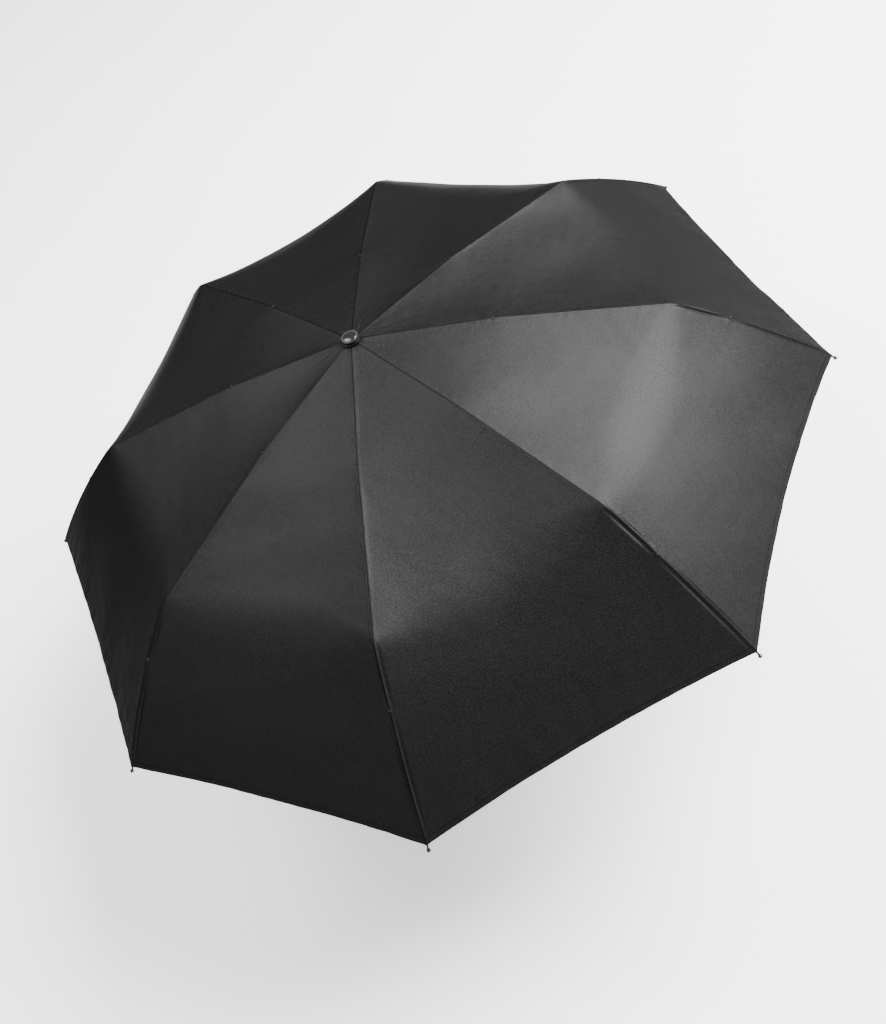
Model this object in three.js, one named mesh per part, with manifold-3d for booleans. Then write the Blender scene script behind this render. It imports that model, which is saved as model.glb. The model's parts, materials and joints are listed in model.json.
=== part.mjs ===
/**
 * A three-section folding umbrella with eight ribs, open and standing upright on its handle.
 *
 * Millimetres, +Z up, origin at the centre of the handle's flat base.
 * A rib folds in its own plane, so every rib piece is drawn once in a local frame whose origin is
 * the piece's hinge: +X along the piece, +Y across it and +Z towards the fabric.
 */
import * as THREE from "three";
import { mergeVertices } from "three/addons/utils/BufferGeometryUtils.js";
import Module from "manifold-3d";

const wasm = await Module();
wasm.setup();

// ---------------------------------------------------------------- driving dimensions
const RIB_COUNT = 8;
const RIB_STEP = (2 * Math.PI) / RIB_COUNT;
const FIRST_RIB_ANGLE = RIB_STEP / 2;

const GAP = 0.3; // between neighbours that touch or slide
const CROWN_HEIGHT = 553; // the plane of the eight crown hinges
const CROWN_HINGE_RADIUS = 11.5;

const degrees = THREE.MathUtils.degToRad;

// Open slopes are angles below the horizontal, and closed ones are where the fold stops.
const TOP_RIB = {
  length: 142.2, width: 6.0, height: 3.2, wall: 0.6, open: degrees(8.9), closed: degrees(87),
};
const MIDDLE_RIB = {
  length: 180.4, width: 4.2, height: 3.0, wall: 0.6, open: degrees(14.1), closed: degrees(-91.5),
};
const OUTER_RIB = {
  length: 208, width: 2.4, height: 2.8, open: degrees(42.3), closed: degrees(88.5),
  barLength: 150, wireRadius: 1.1, tipRadius: 2.4, bow: 5,
};
const STRETCHER = { reach: 85, drop: 4, width: 3.6, height: 2.8 };
const CONTROL_ROD = { radius: 0.8, lever: 8, side: 4.1 };

const HINGE = { pinRadius: 0.7, holeRadius: 1.0, eyeRadius: 1.9, cheekRadius: 2.0, offset: 2.5 };
const TONGUE = { length: 8, width: 2.4 };
const WEB_CUT = 3; // how far the web of a channel stops short of its outer hinge

const CROWN = {
  radius: 14, bottom: -5, top: 4, boreRadius: 5.3, boreTop: 1.5,
  slotRadius: 9.3, slotWidth: 3.0, stemRadius: 4.4, stemTop: 8.5,
};
const ROSETTE = { radius: 10.6, hole: 4.7, bottom: 5.7, top: 6.9 };
const CAP_RING = { radius: 8.9, hole: 8.0, bottom: 9.0, top: 10.6 };
const TOP_CAP = {
  radius: 7.7, bottom: 7.2, rim: 10.8, top: 12.2, boreRadius: 4.7, boreTop: 8.8,
  baseRadius: 8.8, baseTop: 8.7,
};

const RUNNER = {
  sleeveRadius: 8.8, boreRadius: 5.3, bottom: -16, top: 8,
  flangeRadius: 15, flangeHalf: 3, slotRadius: 9.4, slotWidth: 4.2,
};
const BUTTON = { halfWidth: 1.8, bottom: -12.7, top: -7.3, face: 10.2, back: 7.9, travel: 1.2 };

const UPPER_TUBE = { radius: 5.0, bore: 4.5, bottom: 365, top: CROWN_HEIGHT + 1.2 };
const MIDDLE_TUBE = { radius: 4.2, bore: 3.7, bottom: 218, top: 393 };
const LOWER_TUBE = { radius: 3.4, bore: 2.9, bottom: 25, top: 246 };

const HANDLE = { radius: 15, waist: 13.6, capTop: 22, gripTop: 68, top: 76, floor: 24.7, boreRadius: 3.7 };
const STRAP_SLOT = { halfWidth: 3, bottom: 7, top: 15.5 };

const CANOPY = {
  thickness: 0.5, lift: 6.2, tipLift: 2.4, hubRadius: 6.2, hubHeight: 4.95,
  crownEdgeRadius: 17, crownEdgeHeight: 4.4, hemInset: 6, seamGap: 0.15,
  hemCurve: 11, across: 6,
};
// How far mid-panel hangs below the ribs at the hub, crown edge, middle hinge, knee and hem.
const PANEL_DROP = [0, 0.2, 3.5, 13, 3];
// How far the fabric's two bends reach along it, over a rib and in the middle of a panel.
const MIDDLE_BEND = { rib: 8, centre: 40 };
const KNEE_BEND = { rib: 8, centre: 38 };

const ROUND_SIDES = 32;
const TUBE_SIDES = 24;
const PIN_SIDES = 8;
const WIRE_SIDES = 6;
const BOW_SEGMENTS = 6;

// ---------------------------------------------------------------- solids
function solidOf(geometry) {
  const bare = geometry.clone();
  bare.deleteAttribute("normal");
  bare.deleteAttribute("uv");
  const merged = mergeVertices(bare, 1e-4);
  return new wasm.Manifold(
    new wasm.Mesh({
      numProp: 3,
      vertProperties: merged.attributes.position.array,
      triVerts: new Uint32Array(merged.index.array),
    }),
  );
}

function geometryOf(solid) {
  const mesh = solid.getMesh();
  const geometry = new THREE.BufferGeometry();
  geometry.setAttribute("position", new THREE.BufferAttribute(mesh.vertProperties, mesh.numProp));
  geometry.setIndex(new THREE.BufferAttribute(mesh.triVerts, 1));
  geometry.computeVertexNormals();
  return geometry;
}

function join(solids) {
  return solids.reduce((whole, solid) => whole.add(solid));
}

function cut(solid, cutters) {
  return cutters.reduce((rest, cutter) => rest.subtract(cutter), solid);
}

// A box from its low corner to its high corner.
function block([x0, y0, z0], [x1, y1, z1]) {
  const geometry = new THREE.BoxGeometry(x1 - x0, y1 - y0, z1 - z0);
  return solidOf(geometry.translate((x0 + x1) / 2, (y0 + y1) / 2, (z0 + z1) / 2));
}

// A round pin, eye or hole across a rib, at x and z in the rib's plane.
function crossPin([x, z], radius, y0, y1, sides = PIN_SIDES) {
  const geometry = new THREE.CylinderGeometry(radius, radius, y1 - y0, sides);
  return solidOf(geometry.translate(x, (y0 + y1) / 2, z));
}

// A round bar along +X from x0 to x1.
function roundBar(x0, x1, y, z, radius) {
  const geometry = new THREE.CylinderGeometry(radius, radius, x1 - x0, WIRE_SIDES);
  return solidOf(geometry.rotateZ(-Math.PI / 2).translate((x0 + x1) / 2, y, z));
}

function ball(x, y, z, radius) {
  return solidOf(new THREE.SphereGeometry(radius, PIN_SIDES, WIRE_SIDES).translate(x, y, z));
}

// A solid turned about Z from [radius, height] pairs, listed counter-clockwise.
function turned(profile, sides = ROUND_SIDES) {
  const points = profile.map(([radius, height]) => new THREE.Vector2(radius, height));
  return solidOf(new THREE.LatheGeometry(points, sides).rotateX(Math.PI / 2));
}

// A ring or tube with a rectangular section.
function ring(bore, radius, bottom, top, sides = ROUND_SIDES) {
  return turned([[bore, bottom], [radius, bottom], [radius, top], [bore, top], [bore, bottom]], sides);
}

// ---------------------------------------------------------------- rib plane: [radius, height] pairs
function ahead([r, z], slope, along, above = 0) {
  return [
    r + along * Math.cos(slope) + above * Math.sin(slope),
    z - along * Math.sin(slope) + above * Math.cos(slope),
  ];
}

const crownHinge = [CROWN_HINGE_RADIUS, 0];
const middleHinge = ahead(crownHinge, TOP_RIB.open, TOP_RIB.length, HINGE.offset);
const outerHinge = ahead(middleHinge, MIDDLE_RIB.open, MIDDLE_RIB.length, -2 * HINGE.offset);
const stretcherHinge = ahead(crownHinge, TOP_RIB.open, STRETCHER.reach, -STRETCHER.drop);

// Crown, stretcher hinge and runner make an isosceles triangle, so both links have one length.
const STRETCHER_LENGTH = Math.hypot(STRETCHER.reach, STRETCHER.drop);
const stretcherSlope = TOP_RIB.open + Math.atan2(STRETCHER.drop, STRETCHER.reach);
const RUNNER_HEIGHT = CROWN_HEIGHT - 2 * STRETCHER_LENGTH * Math.sin(stretcherSlope);

// The control rod's two ends turn about their ribs' hinges by the same sweep on either side of
// square, so the rod keeps its length and stays parallel to the middle rib when fully folded.
const middleFold = TOP_RIB.closed - TOP_RIB.open + MIDDLE_RIB.open - MIDDLE_RIB.closed;
const outerFold = OUTER_RIB.closed - OUTER_RIB.open + MIDDLE_RIB.open - MIDDLE_RIB.closed;
const rodLean = { inner: (middleFold - Math.PI) / 2, outer: (outerFold - Math.PI) / 2 };
const outerLever = (CONTROL_ROD.lever * Math.cos(rodLean.inner)) / Math.cos(rodLean.outer);
const rodInnerEnd = ahead(middleHinge, MIDDLE_RIB.open - rodLean.inner, CONTROL_ROD.lever);
const rodOuterEnd = ahead(outerHinge, MIDDLE_RIB.open - rodLean.outer, outerLever);

// ---------------------------------------------------------------- rib pieces
// A pressed channel, open underneath, from x0 to x1 about the height z.
function channel({ width, height, wall }, x0, x1, z) {
  const half = width / 2;
  const shell = block([x0, -half, z - height / 2], [x1, half, z + height / 2]);
  const inside = block(
    [x0 + wall, wall - half, z - height],
    [x1 + wall, half - wall, z + height / 2 - wall],
  );
  return shell.subtract(inside);
}

// The two side plates that carry a hinge pin at the end or on the edge of a channel.
function clevis({ width, wall }, [x, z], [x0, x1], [z0, z1]) {
  const half = width / 2;
  const cheeks = [-half, half - wall].flatMap((y) => [
    crossPin([x, z], HINGE.cheekRadius, y, y + wall),
    block([x0, y, z0], [x1, y + wall, z1]),
  ]);
  return join([...cheeks, crossPin([x, z], HINGE.pinRadius, -half, half, WIRE_SIDES)]);
}

function topRib() {
  const { length, width, height, wall } = TOP_RIB;
  const halfTongue = TONGUE.width / 2;
  const tongue = block([0, -halfTongue, -height / 2], [TONGUE.length, halfTongue, height / 2]);
  const eye = crossPin([0, 0], HINGE.eyeRadius, -halfTongue, halfTongue);
  const endHinge = clevis(
    TOP_RIB,
    [length, HINGE.offset],
    [length - 2 * WEB_CUT, length + HINGE.cheekRadius],
    [-height / 2, HINGE.offset],
  );
  const stretcherLug = clevis(
    TOP_RIB,
    [STRETCHER.reach, -STRETCHER.drop],
    [STRETCHER.reach - HINGE.cheekRadius, STRETCHER.reach + HINGE.cheekRadius],
    [-STRETCHER.drop, 0],
  );
  const body = join([
    tongue,
    eye,
    channel(TOP_RIB, TONGUE.length - 1, length - WEB_CUT, 0),
    endHinge,
    stretcherLug,
    rodArm(width / 2 - wall, width / 2),
  ]);
  return body.subtract(crossPin([0, 0], HINGE.holeRadius, -width, width));
}

// The plate past the end hinge that holds the control rod's inner end, on the +Y side.
function rodArm(y0, y1) {
  const lean = TOP_RIB.open - MIDDLE_RIB.open + rodLean.inner;
  const plate = new THREE.BoxGeometry(CONTROL_ROD.lever, y1 - y0, 2 * HINGE.eyeRadius - 1);
  plate.translate(CONTROL_ROD.lever / 2, (y0 + y1) / 2, 0);
  plate.rotateY(-lean);
  plate.translate(TOP_RIB.length, 0, HINGE.offset);
  const end = ahead([TOP_RIB.length, HINGE.offset], -lean, CONTROL_ROD.lever);
  const arm = solidOf(plate).add(crossPin(end, HINGE.eyeRadius, y0, y1));
  return arm.subtract(crossPin(end, CONTROL_ROD.radius + GAP, y0 - 1, y1 + 1));
}

function middleRib() {
  const { length, width, height, wall } = MIDDLE_RIB;
  const half = width / 2;
  const centre = -HINGE.offset;
  const eye = crossPin([0, 0], HINGE.eyeRadius, -half, half);
  const neck = block([-HINGE.eyeRadius / 2, -half, centre - height / 2], [WEB_CUT, half, 0]);
  const endHinge = clevis(
    MIDDLE_RIB,
    [length, centre - HINGE.offset],
    [length - 2 * WEB_CUT, length + HINGE.cheekRadius],
    [centre - HINGE.offset, centre + height / 2],
  );
  const body = join([eye, neck, channel(MIDDLE_RIB, WEB_CUT - wall, length - WEB_CUT, centre), endHinge]);
  return body.subtract(crossPin([0, 0], HINGE.holeRadius, -width, width));
}

// How far the fabric's pull bows the outer rib outwards, at a share of its length.
function outerBow(share) {
  return 4 * OUTER_RIB.bow * share * (1 - share);
}

// A straight length of the outer rib, bent along its bow.
function bowed(geometry) {
  const position = geometry.attributes.position;
  for (let k = 0; k < position.count; k++) {
    const share = THREE.MathUtils.clamp(position.getX(k) / OUTER_RIB.length, 0, 1);
    position.setZ(k, position.getZ(k) + outerBow(share));
  }
  return solidOf(geometry);
}

function outerRib() {
  const { length, width, height, barLength, wireRadius, tipRadius } = OUTER_RIB;
  const half = width / 2;
  const centre = HINGE.offset;
  const bar = new THREE.BoxGeometry(barLength, width, height, BOW_SEGMENTS, 1, 1);
  const wireLength = length - barLength + 1;
  const wire = new THREE.CylinderGeometry(
    wireRadius, wireRadius, wireLength, WIRE_SIDES, BOW_SEGMENTS,
  );
  wire.rotateZ(-Math.PI / 2);
  const body = join([
    crossPin([0, 0], HINGE.eyeRadius, -half, half),
    block([-HINGE.eyeRadius / 2, -half, 0], [WEB_CUT, half, centre + height / 2]),
    bowed(bar.translate(barLength / 2, 0, centre)),
    bowed(wire.translate(length - wireLength / 2, 0, centre)),
    ball(length, 0, centre, tipRadius),
  ]);
  return body.subtract(crossPin([0, 0], HINGE.holeRadius, -width, width));
}

function stretcher() {
  const half = STRETCHER.width / 2;
  const body = join([
    block([0, -half, -STRETCHER.height / 2], [STRETCHER_LENGTH, half, STRETCHER.height / 2]),
    crossPin([0, 0], HINGE.eyeRadius, -half, half),
    crossPin([STRETCHER_LENGTH, 0], HINGE.eyeRadius, -half, half),
  ]);
  return cut(body, [
    crossPin([0, 0], HINGE.holeRadius, -STRETCHER.width, STRETCHER.width),
    crossPin([STRETCHER_LENGTH, 0], HINGE.holeRadius, -STRETCHER.width, STRETCHER.width),
  ]);
}

// A wire beside the middle rib, with both ends turned in towards the ribs' pins.
function controlRod() {
  const { radius, side } = CONTROL_ROD;
  const length = Math.hypot(rodOuterEnd[0] - rodInnerEnd[0], rodOuterEnd[1] - rodInnerEnd[1]);
  const armFace = TOP_RIB.width / 2 - TOP_RIB.wall;
  const outerFace = OUTER_RIB.width / 2 + GAP;
  return join([
    crossPin([0, 0], radius, armFace, side + radius, WIRE_SIDES),
    roundBar(0, length, side, 0, radius),
    crossPin([length, 0], radius, outerFace, side + radius, WIRE_SIDES),
  ]);
}

// ---------------------------------------------------------------- crown and cap, from the crown plane
function radialSlots(innerRadius, outerRadius, slotWidth, bottom, top) {
  return Array.from({ length: RIB_COUNT }, (_, i) => {
    const slot = new THREE.BoxGeometry(outerRadius - innerRadius, slotWidth, top - bottom);
    slot.translate((innerRadius + outerRadius) / 2, 0, (bottom + top) / 2);
    return solidOf(slot.rotateZ(FIRST_RIB_ANGLE + i * RIB_STEP));
  });
}

function crownPins() {
  const reach = CROWN.slotWidth + 1;
  return Array.from({ length: RIB_COUNT }, (_, i) => {
    const pin = new THREE.CylinderGeometry(HINGE.pinRadius, HINGE.pinRadius, reach, WIRE_SIDES);
    pin.translate(CROWN_HINGE_RADIUS, 0, 0);
    return solidOf(pin.rotateZ(FIRST_RIB_ANGLE + i * RIB_STEP));
  });
}

function crown() {
  const { radius, bottom, top, boreRadius, boreTop, slotRadius, slotWidth, stemRadius, stemTop } = CROWN;
  const hub = turned([
    [0, boreTop], [boreRadius, boreTop], [boreRadius, bottom], [radius, bottom],
    [radius, top], [stemRadius, top], [stemRadius, stemTop], [0, stemTop],
  ]);
  const slots = radialSlots(slotRadius, radius + 1, slotWidth, bottom - 1, top + 1);
  return join([cut(hub, slots), ...crownPins()]);
}

function topCap() {
  const { radius, bottom, rim, top, boreRadius, boreTop, baseRadius, baseTop } = TOP_CAP;
  return turned([
    [0, boreTop], [boreRadius, boreTop], [boreRadius, bottom], [baseRadius, bottom],
    [baseRadius, baseTop], [radius, baseTop], [radius, rim], [radius - 0.5, rim + 0.5], [radius / 2, top - 0.2], [0, top],
  ]);
}

// ---------------------------------------------------------------- runner, from its hinge plane
function runner() {
  const { sleeveRadius, boreRadius, bottom, top, flangeRadius, flangeHalf, slotRadius, slotWidth } = RUNNER;
  const body = turned([
    [boreRadius, bottom], [sleeveRadius - 0.8, bottom], [sleeveRadius, bottom + 0.8],
    [sleeveRadius, -flangeHalf], [flangeRadius, -flangeHalf], [flangeRadius, flangeHalf],
    [sleeveRadius, flangeHalf], [sleeveRadius, top], [boreRadius, top], [boreRadius, bottom],
  ]);
  const slots = radialSlots(slotRadius, flangeRadius + 1, slotWidth, -flangeHalf - 1, flangeHalf + 1);
  const { halfWidth, bottom: low, top: high, face, back, travel } = BUTTON;
  const pocket = block(
    [-halfWidth - GAP, -face, low - GAP],
    [halfWidth + GAP, travel + GAP - back, high + GAP],
  );
  return cut(body, [...slots, pocket]);
}

function releaseButton() {
  const { halfWidth, bottom, top, face, back } = BUTTON;
  return block([-halfWidth, -face, bottom], [halfWidth, -back, top]);
}

// ---------------------------------------------------------------- handle
function endCap() {
  const { radius, capTop } = HANDLE;
  const plug = turned([
    [0, 0], [radius - 2.5, 0], [radius - 0.8, 0.8], [radius, 2.8], [radius, capTop], [0, capTop],
  ]);
  const { halfWidth, bottom, top } = STRAP_SLOT;
  return plug.subtract(block([-radius - 1, -halfWidth, bottom], [radius + 1, halfWidth, top]));
}

function grip() {
  const { radius, waist, capTop, gripTop, floor, boreRadius } = HANDLE;
  const bottom = capTop + GAP;
  const middle = (bottom + gripTop) / 2;
  return turned([
    [0, bottom], [radius, bottom], [radius, bottom + 6], [waist, middle], [waist, gripTop - 8],
    [waist + 0.6, gripTop], [boreRadius, gripTop], [boreRadius, floor - GAP], [0, floor - GAP],
  ]);
}

function collar() {
  const { waist, gripTop, top, boreRadius } = HANDLE;
  const bottom = gripTop + GAP;
  return turned([
    [boreRadius, bottom], [waist + 0.6, bottom], [waist + 0.6, bottom + 2.5],
    [waist - 2, top - 1], [waist - 3, top], [boreRadius, top], [boreRadius, bottom],
  ]);
}

// ---------------------------------------------------------------- canopy
// The fabric's line over one rib: its corners, and how far along it each corner lies.
function canopyRibLine() {
  const atMiddle = ahead(crownHinge, TOP_RIB.open, TOP_RIB.length, CANOPY.lift);
  const kneeSlope = (MIDDLE_RIB.open + OUTER_RIB.open) / 2;
  const atKnee = ahead(outerHinge, kneeSlope, 0, CANOPY.lift + HINGE.offset);
  const tipLift = CANOPY.tipLift + HINGE.offset;
  const atHem = ahead(outerHinge, OUTER_RIB.open, OUTER_RIB.length - CANOPY.hemInset, tipLift);
  const corners = [
    [CANOPY.hubRadius, CANOPY.hubHeight],
    [CANOPY.crownEdgeRadius, CANOPY.crownEdgeHeight],
    atMiddle,
    atKnee,
    atHem,
  ];
  const marks = [0];
  for (let k = 1; k < corners.length; k++) {
    const step = Math.hypot(corners[k][0] - corners[k - 1][0], corners[k][1] - corners[k - 1][1]);
    marks.push(marks[k - 1] + step);
  }
  return { corners, marks };
}

const ribLine = canopyRibLine();
const [, CROWN_EDGE, AT_MIDDLE, AT_KNEE, AT_HEM] = ribLine.marks;

// The outward lift of the fabric along an outer rib's bow.
function bowLift(distance) {
  const share = THREE.MathUtils.clamp((distance - AT_KNEE) / (AT_HEM - AT_KNEE), 0, 1);
  return ahead([0, 0], OUTER_RIB.open, 0, outerBow(share));
}

// A point of the fabric above or between ribs. Bow is 0 on a rib and 1 in the middle of a panel,
// where the fabric hangs lowest and its two bends are softest.
function fabricLine(distance, bow) {
  const { marks } = ribLine;
  const corners = ribLine.corners.map(([r, z], k) => [r, z - PANEL_DROP[k] * bow]);
  const place = (at, k) => {
    const share = (at - marks[k]) / (marks[k + 1] - marks[k]);
    const lift = bowLift(at);
    return lift.map((out, axis) => (
      THREE.MathUtils.lerp(corners[k][axis], corners[k + 1][axis], share) + out
    ));
  };
  const k = distance < CROWN_EDGE ? 0 : distance < AT_MIDDLE ? 1 : distance < AT_KNEE ? 2 : 3;
  const point = place(distance, k);
  for (const [corner, bend] of [[2, MIDDLE_BEND], [3, KNEE_BEND]]) {
    const reach = THREE.MathUtils.lerp(bend.rib, bend.centre, bow);
    const inside = Math.max(reach - Math.abs(distance - marks[corner]), 0);
    const before = place(marks[corner] - 1, corner - 1);
    const after = place(marks[corner] + 1, corner);
    const at = place(marks[corner], corner);
    for (const axis of [0, 1]) {
      const turn = after[axis] - 2 * at[axis] + before[axis];
      point[axis] += (turn * inside ** 2) / (4 * reach);
    }
  }
  return point;
}

// A point of the panel between ribs i and i + 1: across runs 0 to 1 between the ribs, and distance
// runs from the hub to the hem, which curves inwards.
function panelPoint(i, across, distance) {
  const bow = 4 * across * (1 - across);
  const pull = CANOPY.hemCurve * bow * (distance / AT_HEM) ** 4;
  const [radius, height] = fabricLine(distance - pull, bow);
  const ends = [i, i + 1].map((k) => {
    const angle = FIRST_RIB_ANGLE + k * RIB_STEP;
    return new THREE.Vector3(radius * Math.cos(angle), radius * Math.sin(angle), height);
  });
  const inset = CANOPY.seamGap / ends[0].distanceTo(ends[1]);
  return ends[0].lerp(ends[1], inset + across * (1 - 2 * inset));
}

// Distances from the hub at which a panel has a row of points, closest together at the knee.
function panelRows() {
  const { rib, centre } = KNEE_BEND;
  const kneeRows = [-centre, -centre / 2, -rib, 0, rib, centre / 2, centre];
  return [
    0,
    CROWN_EDGE,
    (CROWN_EDGE + AT_MIDDLE) / 2,
    AT_MIDDLE,
    ...kneeRows.map((offset) => AT_KNEE + offset),
    ...[0.25, 0.5, 0.75].map((share) => THREE.MathUtils.lerp(AT_KNEE + centre, AT_HEM, share)),
    AT_HEM,
  ];
}

function panelNormal(i, across, distance) {
  const step = 0.01;
  const along = panelPoint(i, Math.min(across + step, 1), distance)
    .sub(panelPoint(i, Math.max(across - step, 0), distance));
  const up = panelPoint(i, across, Math.max(distance - step, 0))
    .sub(panelPoint(i, across, Math.min(distance + step, AT_HEM)));
  return along.cross(up).normalize();
}

// Cuts the squares of a box's back face along the other diagonal, so that when the box is bent into
// a thin sheet its two faces bend alike and never cross.
function matchDiagonals(box) {
  const { start, count } = box.groups.at(-1);
  const index = box.index.array;
  for (let k = start; k < start + count; k += 6) {
    const [a, b, d, , c] = index.slice(k, k + 6);
    index.set([a, b, c, a, c, d], k);
  }
}

function canopyPanel(i) {
  const rows = panelRows();
  const spans = rows.length - 1;
  const sheet = new THREE.BoxGeometry(1, 1, 1, CANOPY.across, spans, 1);
  matchDiagonals(sheet);
  const position = sheet.attributes.position;
  for (let k = 0; k < position.count; k++) {
    const across = THREE.MathUtils.clamp(position.getX(k) + 0.5, 0, 1);
    const distance = rows[Math.round((0.5 - position.getY(k)) * spans)];
    const point = panelPoint(i, across, distance);
    const normal = panelNormal(i, across, distance);
    point.addScaledVector(normal, position.getZ(k) * CANOPY.thickness);
    position.setXYZ(k, point.x, point.y, point.z);
  }
  return sheet;
}

// ---------------------------------------------------------------- materials
const finishes = {
  fabric: { color: 0x17181a, roughness: 0.7, metalness: 0.0 },
  steel: { color: 0x9a9da1, roughness: 0.35, metalness: 0.9 },
  wire: { color: 0x3c3d40, roughness: 0.3, metalness: 0.9 },
  plastic: { color: 0x131415, roughness: 0.5, metalness: 0.0 },
  cap: { color: 0x10141c, roughness: 0.12, metalness: 0.1 },
  chrome: { color: 0xc9ccd0, roughness: 0.1, metalness: 1.0 },
  rubber: { color: 0x191a1b, roughness: 0.85, metalness: 0.0 },
};

function addMesh(parent, name, geometry, finish) {
  const mesh = new THREE.Mesh(geometry, new THREE.MeshStandardMaterial(finishes[finish]));
  mesh.name = name;
  parent.add(mesh);
  return mesh;
}

// ---------------------------------------------------------------- assembly
const umbrella = new THREE.Group();

const ribShapes = {
  top: geometryOf(topRib()),
  stretcher: geometryOf(stretcher()),
  middle: geometryOf(middleRib()),
  rod: geometryOf(controlRod()),
  outer: geometryOf(outerRib()),
};

function addRib(i) {
  const plane = new THREE.Group();
  plane.position.z = CROWN_HEIGHT;
  plane.rotation.z = FIRST_RIB_ANGLE + i * RIB_STEP;
  umbrella.add(plane);
  const rodSlope = Math.atan2(rodInnerEnd[1] - rodOuterEnd[1], rodOuterEnd[0] - rodInnerEnd[0]);
  const pieces = [
    ["top_rib", ribShapes.top, "steel", crownHinge, TOP_RIB.open],
    ["stretcher", ribShapes.stretcher, "steel", stretcherHinge, Math.PI - stretcherSlope],
    ["middle_rib", ribShapes.middle, "steel", middleHinge, MIDDLE_RIB.open],
    ["control_rod", ribShapes.rod, "wire", rodInnerEnd, rodSlope],
    ["outer_rib", ribShapes.outer, "wire", outerHinge, OUTER_RIB.open],
  ];
  for (const [name, geometry, finish, [radius, height], slope] of pieces) {
    const mesh = addMesh(plane, `${name}_${i + 1}`, geometry, finish);
    mesh.position.set(radius, 0, height);
    mesh.rotation.y = slope;
  }
}

for (let i = 0; i < RIB_COUNT; i++) {
  addRib(i);
}

const head = new THREE.Group();
head.position.z = CROWN_HEIGHT;
umbrella.add(head);
const washer = ({ hole, radius, bottom, top }) => geometryOf(ring(hole, radius, bottom, top));
addMesh(head, "crown", geometryOf(crown()), "plastic");
addMesh(head, "rosette", washer(ROSETTE), "plastic");
addMesh(head, "cap_ring", washer(CAP_RING), "chrome");
addMesh(head, "top_cap", geometryOf(topCap()), "cap");
for (let i = 0; i < RIB_COUNT; i++) {
  addMesh(head, `canopy_panel_${i + 1}`, canopyPanel(i), "fabric");
}

const slider = new THREE.Group();
slider.position.z = RUNNER_HEIGHT;
umbrella.add(slider);
addMesh(slider, "runner", geometryOf(runner()), "plastic");
addMesh(slider, "runner_button", geometryOf(releaseButton()), "plastic");

const tubes = { upper_tube: UPPER_TUBE, middle_tube: MIDDLE_TUBE, lower_tube: LOWER_TUBE };
for (const [name, { bore, radius, bottom, top }] of Object.entries(tubes)) {
  addMesh(umbrella, name, geometryOf(ring(bore, radius, bottom, top, TUBE_SIDES)), "chrome");
}

addMesh(umbrella, "end_cap", geometryOf(endCap()), "plastic");
addMesh(umbrella, "grip", geometryOf(grip()), "rubber");
addMesh(umbrella, "collar", geometryOf(collar()), "plastic");

export default umbrella;
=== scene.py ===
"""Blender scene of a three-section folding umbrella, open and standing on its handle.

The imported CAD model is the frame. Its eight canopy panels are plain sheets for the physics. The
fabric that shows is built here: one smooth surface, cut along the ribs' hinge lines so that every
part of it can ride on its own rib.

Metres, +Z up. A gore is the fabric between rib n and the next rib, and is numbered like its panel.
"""

import json
import math

import bpy
import numpy as np
from mathutils import Matrix, Vector


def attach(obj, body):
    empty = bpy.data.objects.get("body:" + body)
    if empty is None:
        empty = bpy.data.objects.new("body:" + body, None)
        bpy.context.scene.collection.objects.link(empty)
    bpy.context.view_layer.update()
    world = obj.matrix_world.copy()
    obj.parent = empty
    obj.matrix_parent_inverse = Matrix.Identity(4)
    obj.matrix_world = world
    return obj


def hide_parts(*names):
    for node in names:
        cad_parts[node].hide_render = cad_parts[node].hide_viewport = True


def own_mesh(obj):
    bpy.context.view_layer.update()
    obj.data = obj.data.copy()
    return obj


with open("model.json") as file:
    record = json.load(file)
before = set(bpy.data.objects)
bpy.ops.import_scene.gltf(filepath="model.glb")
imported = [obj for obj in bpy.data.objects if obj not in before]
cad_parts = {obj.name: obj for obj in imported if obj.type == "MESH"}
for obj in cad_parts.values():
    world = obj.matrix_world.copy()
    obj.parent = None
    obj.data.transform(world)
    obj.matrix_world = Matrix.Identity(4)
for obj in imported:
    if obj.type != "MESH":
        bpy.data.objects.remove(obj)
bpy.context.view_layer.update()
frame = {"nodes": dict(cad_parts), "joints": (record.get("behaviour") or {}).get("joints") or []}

# ---------------------------------------------------------------- dimensions
RIBS = 8
RIB_STEP = 2 * math.pi / RIBS
FIRST_RIB = RIB_STEP / 2

MM = 0.001
TOP_SLOPE = math.radians(8.9)  # each rib section's slope below the horizontal, when open
MIDDLE_SLOPE = math.radians(14.1)
OUTER_SLOPE = math.radians(42.3)

HUB = (6.2 * MM, 4.95 * MM)  # radius, and height above the crown's hinges
CROWN_EDGE = (17 * MM, 4.4 * MM)
LIFT_AT_MIDDLE = 3.7 * MM  # from a hinge pin up to the corner of the fabric over it
LIFT_AT_KNEE = 8.7 * MM
LIFT_AT_HEM = 4.9 * MM
HEM_REACH = 202 * MM  # along the outer rib, from the knee to the hem
OUTER_BOW = 5 * MM  # how far the fabric's pull bows an outer rib outwards
MID_GORE_DROP = np.array([0, 0.2, 3.5, 13, 3]) * MM  # below the ribs, at each corner of their line
HEM_CURVES = np.array([11, 11, 11, 7, 7, 10, 15, 11]) * MM  # how far each gore's hem curves in
MIDDLE_BEND = (8 * MM, 40 * MM)  # reach of the bend along the fabric, on a rib and mid-gore
KNEE_BEND = (8 * MM, 38 * MM)

SEAM_RIDGE = {"offset": 1.9 * MM, "height": 0.13 * MM}
SEAM_PUCKERS = {"height": 0.12 * MM, "length": 13 * MM, "reach": 7 * MM}
TACK_SHARE = 0.33  # how far down the outer rib the fabric is tacked to it
POCKET = {"depth": 1.6 * MM, "from_seam": 2.6 * MM, "width": 1.4 * MM}  # slack beside an outer rib
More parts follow.
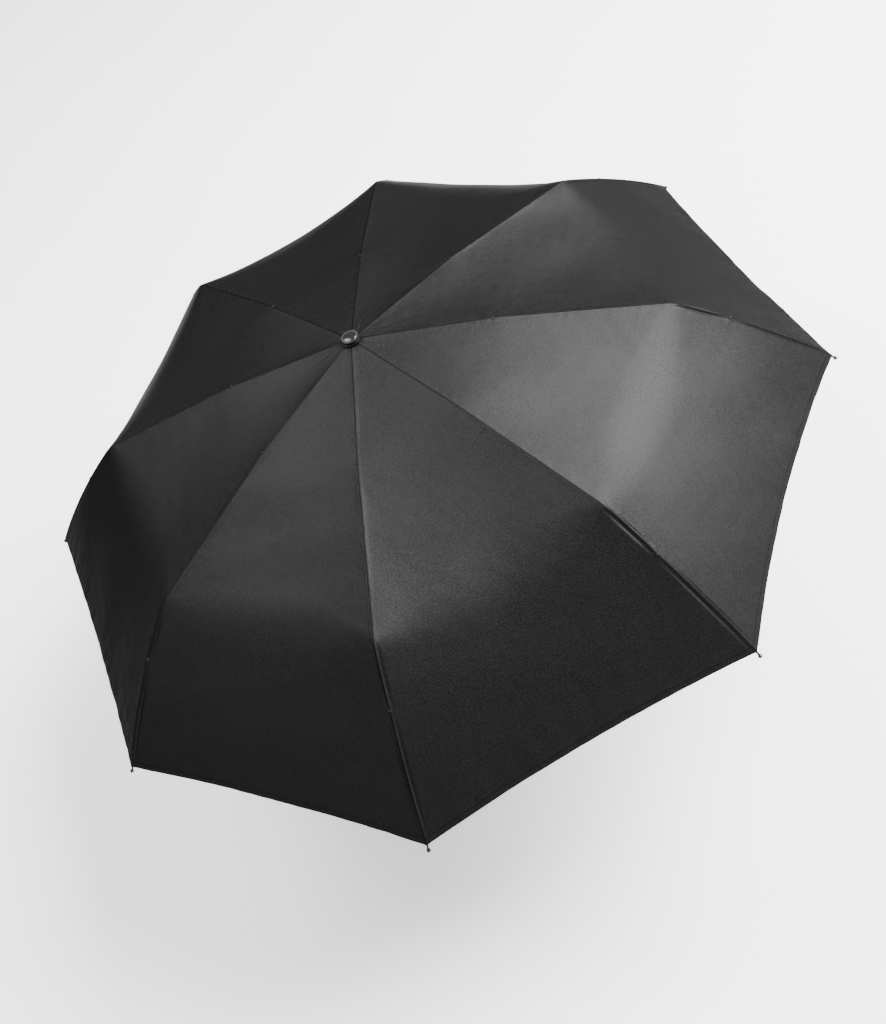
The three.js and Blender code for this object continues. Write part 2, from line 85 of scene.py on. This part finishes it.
# stretch is how many times longer a wave is down the fabric than across it.
BROAD_WAVES = {"height": 0.35 * MM, "length": 95 * MM}
FINE_WAVES = {"height": 0.04 * MM, "length": 26 * MM}
CROWN_GATHERS = {"height": 0.07 * MM, "length": 24 * MM, "gore_width": 160 * MM, "stretch": 8,
                 "reach": 70 * MM}
HEM_FLUTES = {"height": 0.3 * MM, "length": 24 * MM, "stretch": 6, "reach": 38 * MM}
CALM_SEAM = 5 * MM  # no wave comes closer to a seam than about this
HEM_FOLD = {"radius": 0.4 * MM, "depth": 8 * MM, "stitch_row": 6.5 * MM}
STITCH = {"radius": 0.28 * MM, "reach": 1.7 * MM, "strands": 4, "pitch": 0.5 * MM,
          "slant": 0.15 * MM, "arch": 0.35 * MM, "lift": 0.15 * MM}
TIE_INSET = 3 * MM  # from a middle hinge back to the thread that ties the seam there

SEAM_COLUMNS = np.array([0, 0.6, 1.2, 1.9, 2.8, 4.2, 6.5]) * MM
OPEN_COLUMNS = 22
ROW_SPACING = 3 * MM
STEP_ACROSS, STEP_ALONG = 0.001, 0.1 * MM  # for the directions of a surface

FOLD_JOINT = "canopy_fold"

# ---------------------------------------------------------------- studio
FLOOR_HALF = 5.0
FLOOR_GAP = 0.5 * MM  # below the handle
FLOOR_GLOW = 0.8
SKY_STRENGTH = 0.3
SOFTBOX_DISTANCE = 3.0
SOFTBOXES = {  # where each shines from, its side, and its power in watts
    "key_softbox": ((0.73, -0.04, 0.68), 2.0, 620),
    "fill_softbox": ((-0.36, 0.40, 0.84), 1.6, 120),
    "side_softbox": ((-0.84, -0.25, 0.48), 1.4, 20),
}

CAMERA = {
    "target": (-0.0081, -0.2121, 0.493),
    "distance": 1.2342,
    "heading": math.radians(-0.435),
    "elevation": math.radians(50.56),
    "roll": math.radians(30.78),
    "lens": 43.97,
}


# ---------------------------------------------------------------- camera
def add_camera():
    heading, elevation, roll = CAMERA["heading"], CAMERA["elevation"], CAMERA["roll"]
    forward = Vector((
        math.sin(heading) * math.cos(elevation),
        math.cos(heading) * math.cos(elevation),
        -math.sin(elevation),
    ))
    level = forward.cross(Vector((0, 0, 1))).normalized()
    upright = level.cross(forward)
    up = math.cos(roll) * upright + math.sin(roll) * level
    right = math.cos(roll) * level - math.sin(roll) * upright
    data = bpy.data.cameras.new("camera")
    data.lens = CAMERA["lens"]
    camera = bpy.data.objects.new("camera", data)
    turn = Matrix((right, up, -forward)).transposed().to_4x4()
    place = Vector(CAMERA["target"]) - forward * CAMERA["distance"]
    camera.matrix_world = Matrix.Translation(place) @ turn
    bpy.context.scene.collection.objects.link(camera)
    bpy.context.scene.camera = camera


# ---------------------------------------------------------------- the fabric's surface
def joint_place(name):
    """A joint's (radius, height)."""
    x, y, z = next(joint["pos_m"] for joint in frame["joints"] if joint["name"] == name)
    return np.array([math.hypot(x, y), z])


def along_and_above(start, slope, along, above):
    """The point that far down a slope from start, and that far off it on the fabric's side."""
    run = np.array([math.cos(slope), -math.sin(slope)])
    out = np.array([math.sin(slope), math.cos(slope)])
    return start + along * run + above * out


CROWN = joint_place(FOLD_JOINT)
MIDDLE = joint_place("middle_rib_1_hinge")
KNEE = joint_place("outer_rib_1_hinge")
END_MARGIN = 2 * MM

CORNERS = np.array([
    [HUB[0], CROWN[1] + HUB[1]],
    [CROWN_EDGE[0], CROWN[1] + CROWN_EDGE[1]],
    along_and_above(MIDDLE, TOP_SLOPE, 0, LIFT_AT_MIDDLE),
    along_and_above(KNEE, (MIDDLE_SLOPE + OUTER_SLOPE) / 2, 0, LIFT_AT_KNEE),
    along_and_above(KNEE, OUTER_SLOPE, HEM_REACH, LIFT_AT_HEM),
])
STEPS = np.linalg.norm(np.diff(CORNERS, axis=0), axis=1)
RUNS = np.diff(CORNERS, axis=0) / STEPS[:, None]
MARKS = np.concatenate([[0], np.cumsum(STEPS)])
AT_MIDDLE, AT_KNEE, AT_HEM = MARKS[2:]
# The line goes on a little past both ends, so that the fabric has a direction there too.
LINE = np.vstack([
    CORNERS[0] - END_MARGIN * RUNS[0],
    CORNERS,
    CORNERS[-1] + END_MARGIN * RUNS[-1],
])
LINE_MARKS = np.concatenate([[-END_MARGIN], MARKS, [AT_HEM + END_MARGIN]])
LINE_DROPS = np.concatenate([[0], MID_GORE_DROP, MID_GORE_DROP[-1:]])


def gore_width(distance):
    """The straight distance between two ribs, at that distance from the hub."""
    return 2 * math.sin(RIB_STEP / 2) * np.interp(distance, LINE_MARKS, LINE[:, 0])


def cornered_line(distance, bow):
    """Radius and height of the fabric before its bends are rounded."""
    share = np.clip((distance - AT_KNEE) / (AT_HEM - AT_KNEE), 0, 1)
    lift = 4 * OUTER_BOW * share * (1 - share)
    radius = np.interp(distance, LINE_MARKS, LINE[:, 0]) + lift * math.sin(OUTER_SLOPE)
    height = np.interp(distance, LINE_MARKS, LINE[:, 1]) + lift * math.cos(OUTER_SLOPE)
    return radius, height - bow * np.interp(distance, LINE_MARKS, LINE_DROPS)


def fabric_line(distance, bow):
    """Radius and height of the fabric at a distance from the hub; bow is 0 on a rib, 1 mid-gore."""
    radius, height = cornered_line(distance, bow)
    for mark, (on_rib, mid_gore) in ((AT_MIDDLE, MIDDLE_BEND), (AT_KNEE, KNEE_BEND)):
        reach = on_rib + (mid_gore - on_rib) * bow
        inside = np.maximum(reach - np.abs(distance - mark), 0)
        before, at, after = (cornered_line(mark + offset, bow) for offset in (-MM, 0, MM))
        rounding = inside**2 / (4 * reach) / MM
        radius = radius + (after[0] - 2 * at[0] + before[0]) * rounding
        height = height + (after[1] - 2 * at[1] + before[1]) * rounding
    return radius, height


def smooth_surface(gore, across, distance):
    """Points of the fabric before its seams and wrinkles; across is 0 to 1 from rib to rib."""
    bow = 4 * across * (1 - across)
    pull = HEM_CURVES[gore] * bow * (distance / AT_HEM) ** 4
    radius, height = fabric_line(distance - pull, bow)
    low = FIRST_RIB + gore * RIB_STEP
    high = low + RIB_STEP
    x = radius * ((1 - across) * math.cos(low) + across * math.cos(high))
    y = radius * ((1 - across) * math.sin(low) + across * math.sin(high))
    return np.stack([x, y, np.broadcast_to(height, x.shape)], axis=-1)


def downwards(surface, gore, across, distance):
    """The way down the surface towards the hem, over two short steps."""
    ahead = surface(gore, across, distance + STEP_ALONG)
    return ahead - surface(gore, across, distance - STEP_ALONG)


def normals_of(surface, gore, across, distance):
    """Outward normals, from points a short step either side that stay inside the gore."""
    low, high = np.maximum(across - STEP_ACROSS, 0), np.minimum(across + STEP_ACROSS, 1)
    side = surface(gore, high, distance) - surface(gore, low, distance)
    normal = np.cross(downwards(surface, gore, across, distance), side)
    return normal / np.linalg.norm(normal, axis=-1, keepdims=True)


def ripple(seed, x, y, length, waves=7):
    """Smooth random waves of about that length, mostly between -1 and 1."""
    random = np.random.default_rng(seed)
    total = np.zeros(np.broadcast(x, y).shape)
    for _ in range(waves):
        heading, phase = random.uniform(0, 2 * math.pi, 2)
        turns = 2 * math.pi / (length * random.uniform(0.7, 1.5))
        total += np.sin(turns * (x * math.cos(heading) + y * math.sin(heading)) + phase)
    return total / math.sqrt(waves)


def seam_relief(seed, across, distance, from_seam):
    """The ridge beside each seam, and the puckers that its stitches pull."""
    near = (from_seam / SEAM_RIDGE["offset"]) ** 2
    ridge = SEAM_RIDGE["height"] * near * np.exp(1 - near)
    low_pull, high_pull = (ripple(seed + k, 0, distance, SEAM_PUCKERS["length"]) for k in (3, 4))
    pull = SEAM_PUCKERS["height"] * np.where(across < 0.5, low_pull, high_pull)
    return ridge + pull * np.exp(-from_seam / SEAM_PUCKERS["reach"]) * (1 - np.exp(-near))


def slack_pockets(distance, from_seam):
    """The hollows beside an outer rib, where the fabric is slack between knee, tack and tip."""
    down_outer = np.clip((distance - AT_KNEE) / (AT_HEM - AT_KNEE), 0, 1)
    held = [0, TACK_SHARE, 1]
    slack = np.abs(np.sin(math.pi * np.interp(down_outer, held, [0, 1, 2])))
    hollow = np.exp(-(((from_seam - POCKET["from_seam"]) / POCKET["width"]) ** 2))
    return -POCKET["depth"] * slack * hollow


def waves(seed, across, distance, x):
    """Broad and fine waves everywhere, gathers round the crown and flutes along the hem."""
    broad = BROAD_WAVES["height"] * ripple(seed + 1, x, distance, BROAD_WAVES["length"])
    fine = FINE_WAVES["height"] * ripple(seed + 2, x, distance, FINE_WAVES["length"])
    gathers = CROWN_GATHERS["height"] * ripple(
        seed + 5, across * CROWN_GATHERS["gore_width"], distance / CROWN_GATHERS["stretch"],
        CROWN_GATHERS["length"])
    at_crown = np.exp(-((distance / CROWN_GATHERS["reach"]) ** 2))
    flutes = HEM_FLUTES["height"] * ripple(
        seed + 6, x, distance / HEM_FLUTES["stretch"], HEM_FLUTES["length"])
    at_hem = np.exp(-np.maximum(AT_HEM - distance, 0) / HEM_FLUTES["reach"])
    return broad + fine + gathers * at_crown + flutes * at_hem


def relief(gore, across, distance):
    """How far the fabric stands off its smooth surface."""
    width = gore_width(distance)
    x = (across - 0.5) * width
    from_seam = np.minimum(across, 1 - across) * width
    seed = 100 * gore
    clear = 1 - np.exp(-((from_seam / CALM_SEAM) ** 2))
    return (seam_relief(seed, across, distance, from_seam) + slack_pockets(distance, from_seam)
            + clear * waves(seed, across, distance, x))


def fabric(gore, across, distance):
    """Points of the finished fabric."""
    off = relief(gore, across, distance)[..., None]
    smooth = smooth_surface(gore, across, distance)
    return smooth + off * normals_of(smooth_surface, gore, across, distance)


# ---------------------------------------------------------------- meshes
def grid_faces(rows, columns):
    low = (np.arange(rows - 1)[:, None] * columns + np.arange(columns - 1)).ravel()
    return np.stack([low, low + columns, low + columns + 1, low + 1], axis=-1)


def add_mesh(name, points, faces, material, normals=None, maps=()):
    """A new object. faces is a list of lists; maps are (name, one (u, v) a vertex) pairs."""
    mesh = bpy.data.meshes.new(name)
    mesh.from_pydata(np.reshape(points, (-1, 3)).tolist(), [], faces)
    mesh.shade_smooth()
    mesh.materials.append(material)
    corner_vertices = np.empty(len(mesh.loops), dtype=np.int32)
    mesh.loops.foreach_get("vertex_index", corner_vertices)
    for map_name, values in maps:
        layer = mesh.uv_layers.new(name=map_name)
        layer.uv.foreach_set("vector", values[corner_vertices].ravel())
    if normals is not None:
        mesh.normals_split_custom_set_from_vertices(normals.tolist())
    piece = bpy.data.objects.new(name, mesh)
    bpy.context.scene.collection.objects.link(piece)
    return piece


# ---------------------------------------------------------------- materials
MIX_A, MIX_B, MIX_RESULT = 6, 7, 2  # a Mix node's colour sockets


class Finish:
    """A Principled material whose procedural nodes are added one at a time."""

    def __init__(self, name, ior=1.5, **sockets):
        self.data = bpy.data.materials.new(name)
        self.data.use_nodes = True
        self.tree = self.data.node_tree
        self.shader = self.tree.nodes["Principled BSDF"]
        self.shader.inputs["IOR"].default_value = ior
        for socket, value in sockets.items():
            self.shader.inputs[socket.replace("_", " ").title()].default_value = value

    def add(self, kind, inputs=(), **settings):
        node = self.tree.nodes.new(kind)
        for setting, value in settings.items():
            setattr(node, setting, value)
        for socket, value in dict(inputs).items():
            if isinstance(value, bpy.types.NodeSocket):
                self.tree.links.new(value, node.inputs[socket])
            else:
                node.inputs[socket].default_value = value
        return node

    def connect(self, output, socket):
        self.tree.links.new(output, self.shader.inputs[socket])

    def place(self, scale=(1, 1, 1)):
        """Object coordinates in metres, stretched by scale."""
        source = self.add("ShaderNodeTexCoord").outputs["Object"]
        return self.add("ShaderNodeMapping", {"Vector": source, "Scale": scale}).outputs["Vector"]

    def flat_place(self, map_name):
        return self.add("ShaderNodeUVMap", uv_map=map_name).outputs["UV"]

    def noise(self, place, size, detail=3.0, roughness=0.55):
        """Noise whose features are about that size, in metres."""
        return self.add("ShaderNodeTexNoise", {
            "Vector": place, "Scale": 1 / size, "Detail": detail, "Roughness": roughness,
        }).outputs["Fac"]

    def bands(self, place, direction, pitch):
        """Sine bands of that pitch, in metres."""
        return self.add("ShaderNodeTexWave", {"Vector": place, "Scale": math.pi / (10 * pitch)},
                        bands_direction=direction).outputs["Fac"]

    def spread(self, value, low, high, out_low=0.0, out_high=1.0):
        """Map low..high to out_low..out_high, held at both ends."""
        return self.add("ShaderNodeMapRange", {
            "Value": value,
            "From Min": low, "From Max": high,
            "To Min": out_low, "To Max": out_high,
        }).outputs["Result"]

    def calculate(self, operation, a, b):
        return self.add("ShaderNodeMath", {0: a, 1: b}, operation=operation).outputs["Value"]

    def between(self, factor, low, high):
        """A colour between low and high, each a colour or another node's output."""
        node = self.add("ShaderNodeMix", {"Factor": factor}, data_type="RGBA")
        for socket, colour in ((MIX_A, low), (MIX_B, high)):
            if isinstance(colour, bpy.types.NodeSocket):
                self.tree.links.new(colour, node.inputs[socket])
            else:
                node.inputs[socket].default_value = (*colour, 1)
        return node.outputs[MIX_RESULT]

    def bump(self, height, depth, strength=1.0, under=None):
        inputs = {"Height": height, "Distance": depth, "Strength": strength}
        if under is not None:
            inputs["Normal"] = under
        return self.add("ShaderNodeBump", inputs).outputs["Normal"]


DARK_THREAD, PALE_THREAD, WORN_THREAD = [(shade,) * 3 for shade in (0.0085, 0.0260, 0.0185)]
# Painted shade: the dark colour laid along each seam's line and along the hem's stitch row.
SEAM_PAINTED_SHADE = (0.006, 0.006, 0.0065)
EDGE_TINT = (0.28, 0.28, 0.28, 1)
THREAD_PITCH = 0.45 * MM


def pongee():
    """Black woven polyester: fine grain, a satin sheen, painted shade on seams and hem stitch row.

    Filament weaves shine most face on and hardly at all edge on, as a dark metal with a grey edge
    tint does.
    """
    finish = Finish("pongee", ior=1.2, metallic=0.92, specular_tint=EDGE_TINT)
    weave_place = finish.flat_place("weave")
    seam_place = finish.add("ShaderNodeSeparateXYZ", {"Vector": finish.flat_place("seam")})
    from_seam, from_hem = seam_place.outputs["X"], seam_place.outputs["Y"]
    solid_place = finish.place()

    grain = finish.noise(solid_place, 1.3 * MM, detail=3.0, roughness=0.75)
    cloud = finish.noise(solid_place, 70 * MM, detail=2.0)
    warp = finish.bands(weave_place, "X", THREAD_PITCH)
    weft = finish.bands(weave_place, "Y", THREAD_PITCH)
    weave = finish.calculate("MULTIPLY", warp, weft)

    thread = finish.between(finish.spread(grain, 0.32, 0.68), DARK_THREAD, PALE_THREAD)
    clouded = finish.between(finish.spread(cloud, 0.35, 0.65, 0.0, 0.35), thread, WORN_THREAD)
    # Painted shade: the colour darkens within about a millimetre of each seam, where its crease is
    # shaded.
    seam_painted_shade = finish.spread(from_seam, 0.3 * MM, 0.9 * MM)
    with_seam_shade = finish.between(seam_painted_shade, SEAM_PAINTED_SHADE, clouded)
    # Painted shade: the hem's stitch row, 6.5 mm in from the edge, gets the same dark seam shade.
    past_row = finish.calculate("SUBTRACT", from_hem, HEM_FOLD["stitch_row"])
    hem_row_painted_shade = finish.spread(finish.calculate("ABSOLUTE", past_row, 0), 0.1 * MM, 0.5 * MM)
    finish.connect(finish.between(hem_row_painted_shade, SEAM_PAINTED_SHADE, with_seam_shade), "Base Color")

    finish.connect(finish.spread(grain, 0.25, 0.75, 0.48, 0.58), "Roughness")
    woven = finish.bump(weave, 0.05 * MM, 0.35)
    finish.connect(finish.bump(grain, 0.18 * MM, 0.7, under=woven), "Normal")
    return finish.data


def plated_steel(name, shade, stretch, roughness=(0.24, 0.42)):
    """Plated steel with drawing marks that run along it and a faint cloudiness."""
    finish = Finish(name, metallic=1.0)
    marks = finish.noise(finish.place(stretch), 1.5 * MM, detail=4.0)
    cloud = finish.noise(finish.place(), 18 * MM)
    dark = tuple(0.72 * value for value in shade)
    tone = finish.between(finish.spread(cloud, 0.3, 0.7), dark, shade)
    finish.connect(finish.between(finish.spread(marks, 0.2, 0.55), dark, tone), "Base Color")
    finish.connect(finish.spread(marks, 0.25, 0.75, *roughness), "Roughness")
    finish.connect(finish.bump(marks, 0.03 * MM, 0.35), "Normal")
    return finish.data


def moulded_plastic(name, dark, light, roughness=(0.34, 0.52), pitch=0.9 * MM):
    """Black plastic with a fine spark-eroded grain and paler, rubbed patches."""
    finish = Finish(name, ior=1.25)
    grain = finish.noise(finish.place(), pitch, detail=3.0)
    wear = finish.noise(finish.place(), 9 * MM, detail=5.0, roughness=0.65)
    finish.connect(finish.between(finish.spread(wear, 0.45, 0.75), dark, light), "Base Color")
    finish.connect(finish.spread(grain, 0.3, 0.7, *roughness), "Roughness")
    finish.connect(finish.bump(grain, 0.06 * MM, 0.4), "Normal")
    return finish.data


def cap_lacquer():
    """Glossy blue-black lacquer with a faint orange-peel and hairline scratches."""
    finish = Finish("cap_lacquer", ior=1.35, coat_weight=0.25, coat_roughness=0.1)
    peel = finish.noise(finish.place(), 2.2 * MM, detail=1.0)
    scratches = finish.noise(finish.place((1, 14, 1)), 3 * MM, detail=5.0)
    deep, sheen = (0.004, 0.0045, 0.007), (0.008, 0.009, 0.014)
    finish.connect(finish.between(finish.spread(peel, 0.3, 0.7), deep, sheen), "Base Color")
    finish.connect(finish.spread(scratches, 0.35, 0.75, 0.16, 0.32), "Roughness")
    finish.connect(finish.bump(peel, 0.04 * MM, 0.3), "Normal")
    return finish.data


def polished_chrome():
    finish = Finish("polished_chrome", metallic=1.0)
    smear = finish.noise(finish.place(), 4 * MM, detail=4.0)
    finish.connect(finish.between(smear, (0.62, 0.63, 0.66), (0.80, 0.81, 0.83)), "Base Color")
    finish.connect(finish.spread(smear, 0.35, 0.7, 0.06, 0.16), "Roughness")
    return finish.data


def soft_touch_rubber():
    """Black rubber paint: matt, slightly dusty, with a fine pebbled skin."""
    finish = Finish("soft_touch_rubber", ior=1.2)
    pebble = finish.noise(finish.place(), 0.7 * MM, detail=2.0)
    dust = finish.noise(finish.place(), 14 * MM, detail=5.0, roughness=0.6)
    finish.connect(finish.between(finish.spread(dust, 0.4, 0.75), (0.004, 0.004, 0.0042),
                                  (0.011, 0.011, 0.0115)), "Base Color")
    finish.connect(finish.spread(pebble, 0.3, 0.7, 0.58, 0.78), "Roughness")
    finish.connect(finish.bump(pebble, 0.08 * MM, 0.5), "Normal")
    return finish.data


def sewing_thread():
    """Black polyester thread, with the slant of its twist."""
    finish = Finish("sewing_thread", ior=1.25)
    twist = finish.bands(finish.place(), "DIAGONAL", STITCH["pitch"])
    shade = finish.between(twist, (0.003, 0.003, 0.0032), (0.010, 0.010, 0.0105))
    finish.connect(shade, "Base Color")
    finish.connect(finish.spread(twist, 0, 1, 0.45, 0.65), "Roughness")
    finish.connect(finish.bump(twist, 0.08 * MM, 0.5), "Normal")
    return finish.data


def pale_floor():
    """A seamless pale sweep with only the faintest mottling."""
    finish = Finish("pale_floor", emission_color=(1, 1, 1, 1), emission_strength=FLOOR_GLOW)
    mottle = finish.noise(finish.place(), 0.35, detail=2.0)
    finish.connect(finish.between(mottle, (0.90, 0.90, 0.90), (0.93, 0.93, 0.93)), "Base Color")
    finish.connect(finish.spread(mottle, 0.3, 0.7, 0.85, 0.95), "Roughness")
    return finish.data


FABRIC = pongee()
CAP_LACQUER = cap_lacquer()
CHROME = polished_chrome()
THREAD = sewing_thread()
RUBBER = soft_touch_rubber()
PLASTIC = moulded_plastic("black_plastic", (0.004, 0.004, 0.0042), (0.010, 0.010, 0.0105))
RIB_STEEL = plated_steel("rib_steel", (0.26, 0.265, 0.275), (1, 1, 1))
WIRE_STEEL = plated_steel("wire_steel", (0.050, 0.051, 0.054), (1, 1, 1), (0.26, 0.42))
SHAFT_STEEL = plated_steel("shaft_steel", (0.34, 0.345, 0.355), (8, 8, 0.3), (0.14, 0.3))


# ---------------------------------------------------------------- canopy pieces
def seam_columns(half_width):
    """Distances from a seam to mid-gore: fixed ones close to the seam, then even ones."""
    last = SEAM_COLUMNS[-1]
    shrink = np.minimum(1, half_width / (3 * last))
    near = SEAM_COLUMNS * shrink
    rest = (half_width - last * shrink) * np.arange(1, OPEN_COLUMNS + 1) / OPEN_COLUMNS
    return np.concatenate([near, last * shrink + rest])


def hem_rows():
    """(distance past the hem, depth under it, lean of the normal) round the folded edge."""
    radius = HEM_FOLD["radius"]
    turns = np.radians([0, 45, 90, 135, 180])
    edge = [(radius * math.sin(t), radius * (1 - math.cos(t)), t) for t in turns]
    flap = [(-HEM_FOLD["depth"] * share, 2 * radius, math.pi) for share in (0.3, 0.65, 1.0)]
    return edge[1:] + flap


def strip_grid(gore, from_high_rib, start, stop, hemmed):
    """Points, normals and maps of half a gore between two distances from the hub."""
    rows = np.linspace(start, stop, max(2, round((stop - start) / ROW_SPACING)) + 1)
    folds = hem_rows() if hemmed else []
    distances = np.concatenate([rows, [AT_HEM + past for past, _, _ in folds]])
    depths = np.concatenate([np.zeros(len(rows)), [depth for _, depth, _ in folds]])
    leans = np.concatenate([np.zeros(len(rows)), [lean for _, _, lean in folds]])
    half_widths = gore_width(distances) / 2
    from_seam = np.array([seam_columns(half_width) for half_width in half_widths])
    across = from_seam / (2 * half_widths[:, None])
    if from_high_rib:
        across = 1 - across
    distance = np.broadcast_to(distances[:, None], across.shape)
    normals = normals_of(fabric, gore, across, distance)
    hemwards = downwards(fabric, gore, across, distance)
    hemwards /= np.linalg.norm(hemwards, axis=-1, keepdims=True)
    points = fabric(gore, across, distance) - depths[:, None, None] * normals
    lean = leans[:, None, None]
    normals = np.cos(lean) * normals + np.sin(lean) * hemwards
    lateral = (across - 0.5) * 2 * half_widths[:, None]
    weave_map = np.stack([lateral, distance], axis=-1)
    seam_map = np.stack([from_seam, AT_HEM - distance], axis=-1)
    return points, normals, weave_map, seam_map


def sideways_of(rib):
    """The level direction anticlockwise across a rib."""
    angle = FIRST_RIB + rib * RIB_STEP
    return np.array([-math.sin(angle), math.cos(angle), 0])


SECTIONS = {
    "top": (0, AT_MIDDLE, TOP_SLOPE),
    "middle": (AT_MIDDLE, AT_KNEE, MIDDLE_SLOPE),
    "outer": (AT_KNEE, AT_HEM, OUTER_SLOPE),
}


def rib_point(rib, distance):
    radius, height = fabric_line(distance, 0)
    angle = FIRST_RIB + rib * RIB_STEP
    return np.array([radius * math.cos(angle), radius * math.sin(angle), height])


def gather(piece):
    """Give a piece a mesh of its own."""
    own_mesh(piece)


def add_fabric_strip(rib, side, section):
    """The fabric from one section of a rib to mid-gore; side is 1 anticlockwise, -1 clockwise."""
    start, stop, slope = SECTIONS[section]
    gore = rib if side > 0 else (rib - 1) % RIBS
    hemmed = section == "outer"
    points, normals, weave_map, seam_map = strip_grid(gore, side < 0, start, stop, hemmed)
    rows, columns = points.shape[:2]
    faces = grid_faces(rows, columns)
    if side < 0:
        faces = faces[:, ::-1]
    name = f"fabric_{section}_{rib + 1}_{'left' if side > 0 else 'right'}"
    maps = (("weave", weave_map.reshape(-1, 2)), ("seam", seam_map.reshape(-1, 2)))
    piece = add_mesh(name, points, faces.tolist(), FABRIC, normals.reshape(-1, 3), maps)
    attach(piece, f"{section}_rib_{rib + 1}")
    gather(piece)
    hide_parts(f"canopy_panel_{gore + 1}")


def tube_along(points, radius, sides=8):
    """Points and faces of a closed tube along a line of points."""
    points = np.asarray(points, float)
    run = np.gradient(points, axis=0)
    run /= np.linalg.norm(run, axis=1, keepdims=True)
    start = np.cross(run[0], (0.3, 0.5, 0.8))
    start /= np.linalg.norm(start)
    angles = np.arange(sides)[:, None] * 2 * math.pi / sides
    round_cos, round_sin = np.cos(angles), np.sin(angles)
    rings = []
    for point, direction in zip(points, run):
        start = start - direction * start.dot(direction)
        start /= np.linalg.norm(start)
        third = np.cross(direction, start)
        rings.append(point + radius * (round_cos * start + round_sin * third))
    faces = []
    for ring in range(len(points) - 1):
        for side in range(sides):
            after = (side + 1) % sides
            low, high = ring * sides, (ring + 1) * sides
            faces.append([low + side, low + after, high + after, high + side])
    last = (len(points) - 1) * sides
    faces.append(list(range(sides))[::-1])
    faces.append([last + side for side in range(sides)])
    return np.vstack(rings), faces


def joined(parts):
    """One list of points and faces from several."""
    all_points, all_faces, count = [], [], 0
    for points, faces in parts:
        all_points.append(points)
        all_faces += [[index + count for index in face] for face in faces]
        count += len(points)
    return np.vstack(all_points), all_faces


def add_stitches(name, rib, distance, body):
    """A few turns of thread that tie the seam to its rib and show as a nick across it."""
    shares = np.linspace(-1, 1, 9)
    arch = STITCH["arch"] * (1 - shares**2) + STITCH["lift"]
    parts = []
    for strand in range(STITCH["strands"]):
        along = distance + (strand - (STITCH["strands"] - 1) / 2) * STITCH["pitch"]
        base = rib_point(rib, along)
        run = rib_point(rib, along + MM) - base
        run /= np.linalg.norm(run)
        line = (base + np.outer(shares * STITCH["reach"], sideways_of(rib))
                + np.outer(shares * STITCH["slant"], run) + np.outer(arch, (0, 0, 1)))
        parts.append(tube_along(line, STITCH["radius"]))
    piece = add_mesh(name, *joined(parts), THREAD)
    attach(piece, body)
    return piece


def add_canopy():
    for rib in range(RIBS):
        for side in (1, -1):
            for section in SECTIONS:
                add_fabric_strip(rib, side, section)
        number = rib + 1
        tie = add_stitches(f"tie_stitch_{number}", rib, AT_MIDDLE - TIE_INSET, f"top_rib_{number}")
        gather(tie)
        tack = AT_KNEE + TACK_SHARE * (AT_HEM - AT_KNEE)
        add_stitches(f"tack_stitch_{number}", rib, tack, f"outer_rib_{number}")


# ---------------------------------------------------------------- CAD nodes' finishes
NODE_FINISHES = {
    "top_rib": RIB_STEEL, "middle_rib": RIB_STEEL, "stretcher": RIB_STEEL,
    "control_rod": WIRE_STEEL, "outer_rib": WIRE_STEEL,
    "upper_tube": SHAFT_STEEL, "middle_tube": SHAFT_STEEL, "lower_tube": SHAFT_STEEL,
    "crown": PLASTIC, "rosette": PLASTIC, "runner": PLASTIC, "runner_button": PLASTIC,
    "collar": PLASTIC, "end_cap": PLASTIC, "top_cap": CAP_LACQUER, "cap_ring": CHROME,
    "grip": RUBBER, "canopy_panel": FABRIC,
}


def finish_nodes():
    for name, node in frame["nodes"].items():
        kind = name.rstrip("0123456789").rstrip("_")
        for material_slot in node.material_slots:
            material_slot.material = NODE_FINISHES[kind]


# ---------------------------------------------------------------- floor and lights
def add_floor():
    corners = ((-1, -1), (1, -1), (1, 1), (-1, 1))
    points = [(FLOOR_HALF * x, FLOOR_HALF * y, -FLOOR_GAP) for x, y in corners]
    floor = add_mesh("floor", points, [[0, 1, 2, 3]], pale_floor())


def add_softbox(name, direction, size, power):
    """A square light that faces the canopy from that direction."""
    data = bpy.data.lights.new(name, "AREA")
    data.shape = "SQUARE"
    data.size = size
    data.energy = power
    light = bpy.data.objects.new(name, data)
    towards = Vector(direction).normalized()
    centre = Vector((0, 0, CROWN[1]))
    place = Matrix.Translation(centre + SOFTBOX_DISTANCE * towards)
    light.matrix_world = place @ towards.to_track_quat("Z", "Y").to_matrix().to_4x4()
    bpy.context.scene.collection.objects.link(light)


def add_lights():
    for name, settings in SOFTBOXES.items():
        add_softbox(name, *settings)
    world = bpy.data.worlds.new("studio")
    world.use_nodes = True
    background = world.node_tree.nodes["Background"]
    background.inputs["Color"].default_value = (1, 1, 1, 1)
    background.inputs["Strength"].default_value = SKY_STRENGTH
    bpy.context.scene.world = world


add_camera()
finish_nodes()
add_canopy()
add_floor()
add_lights()
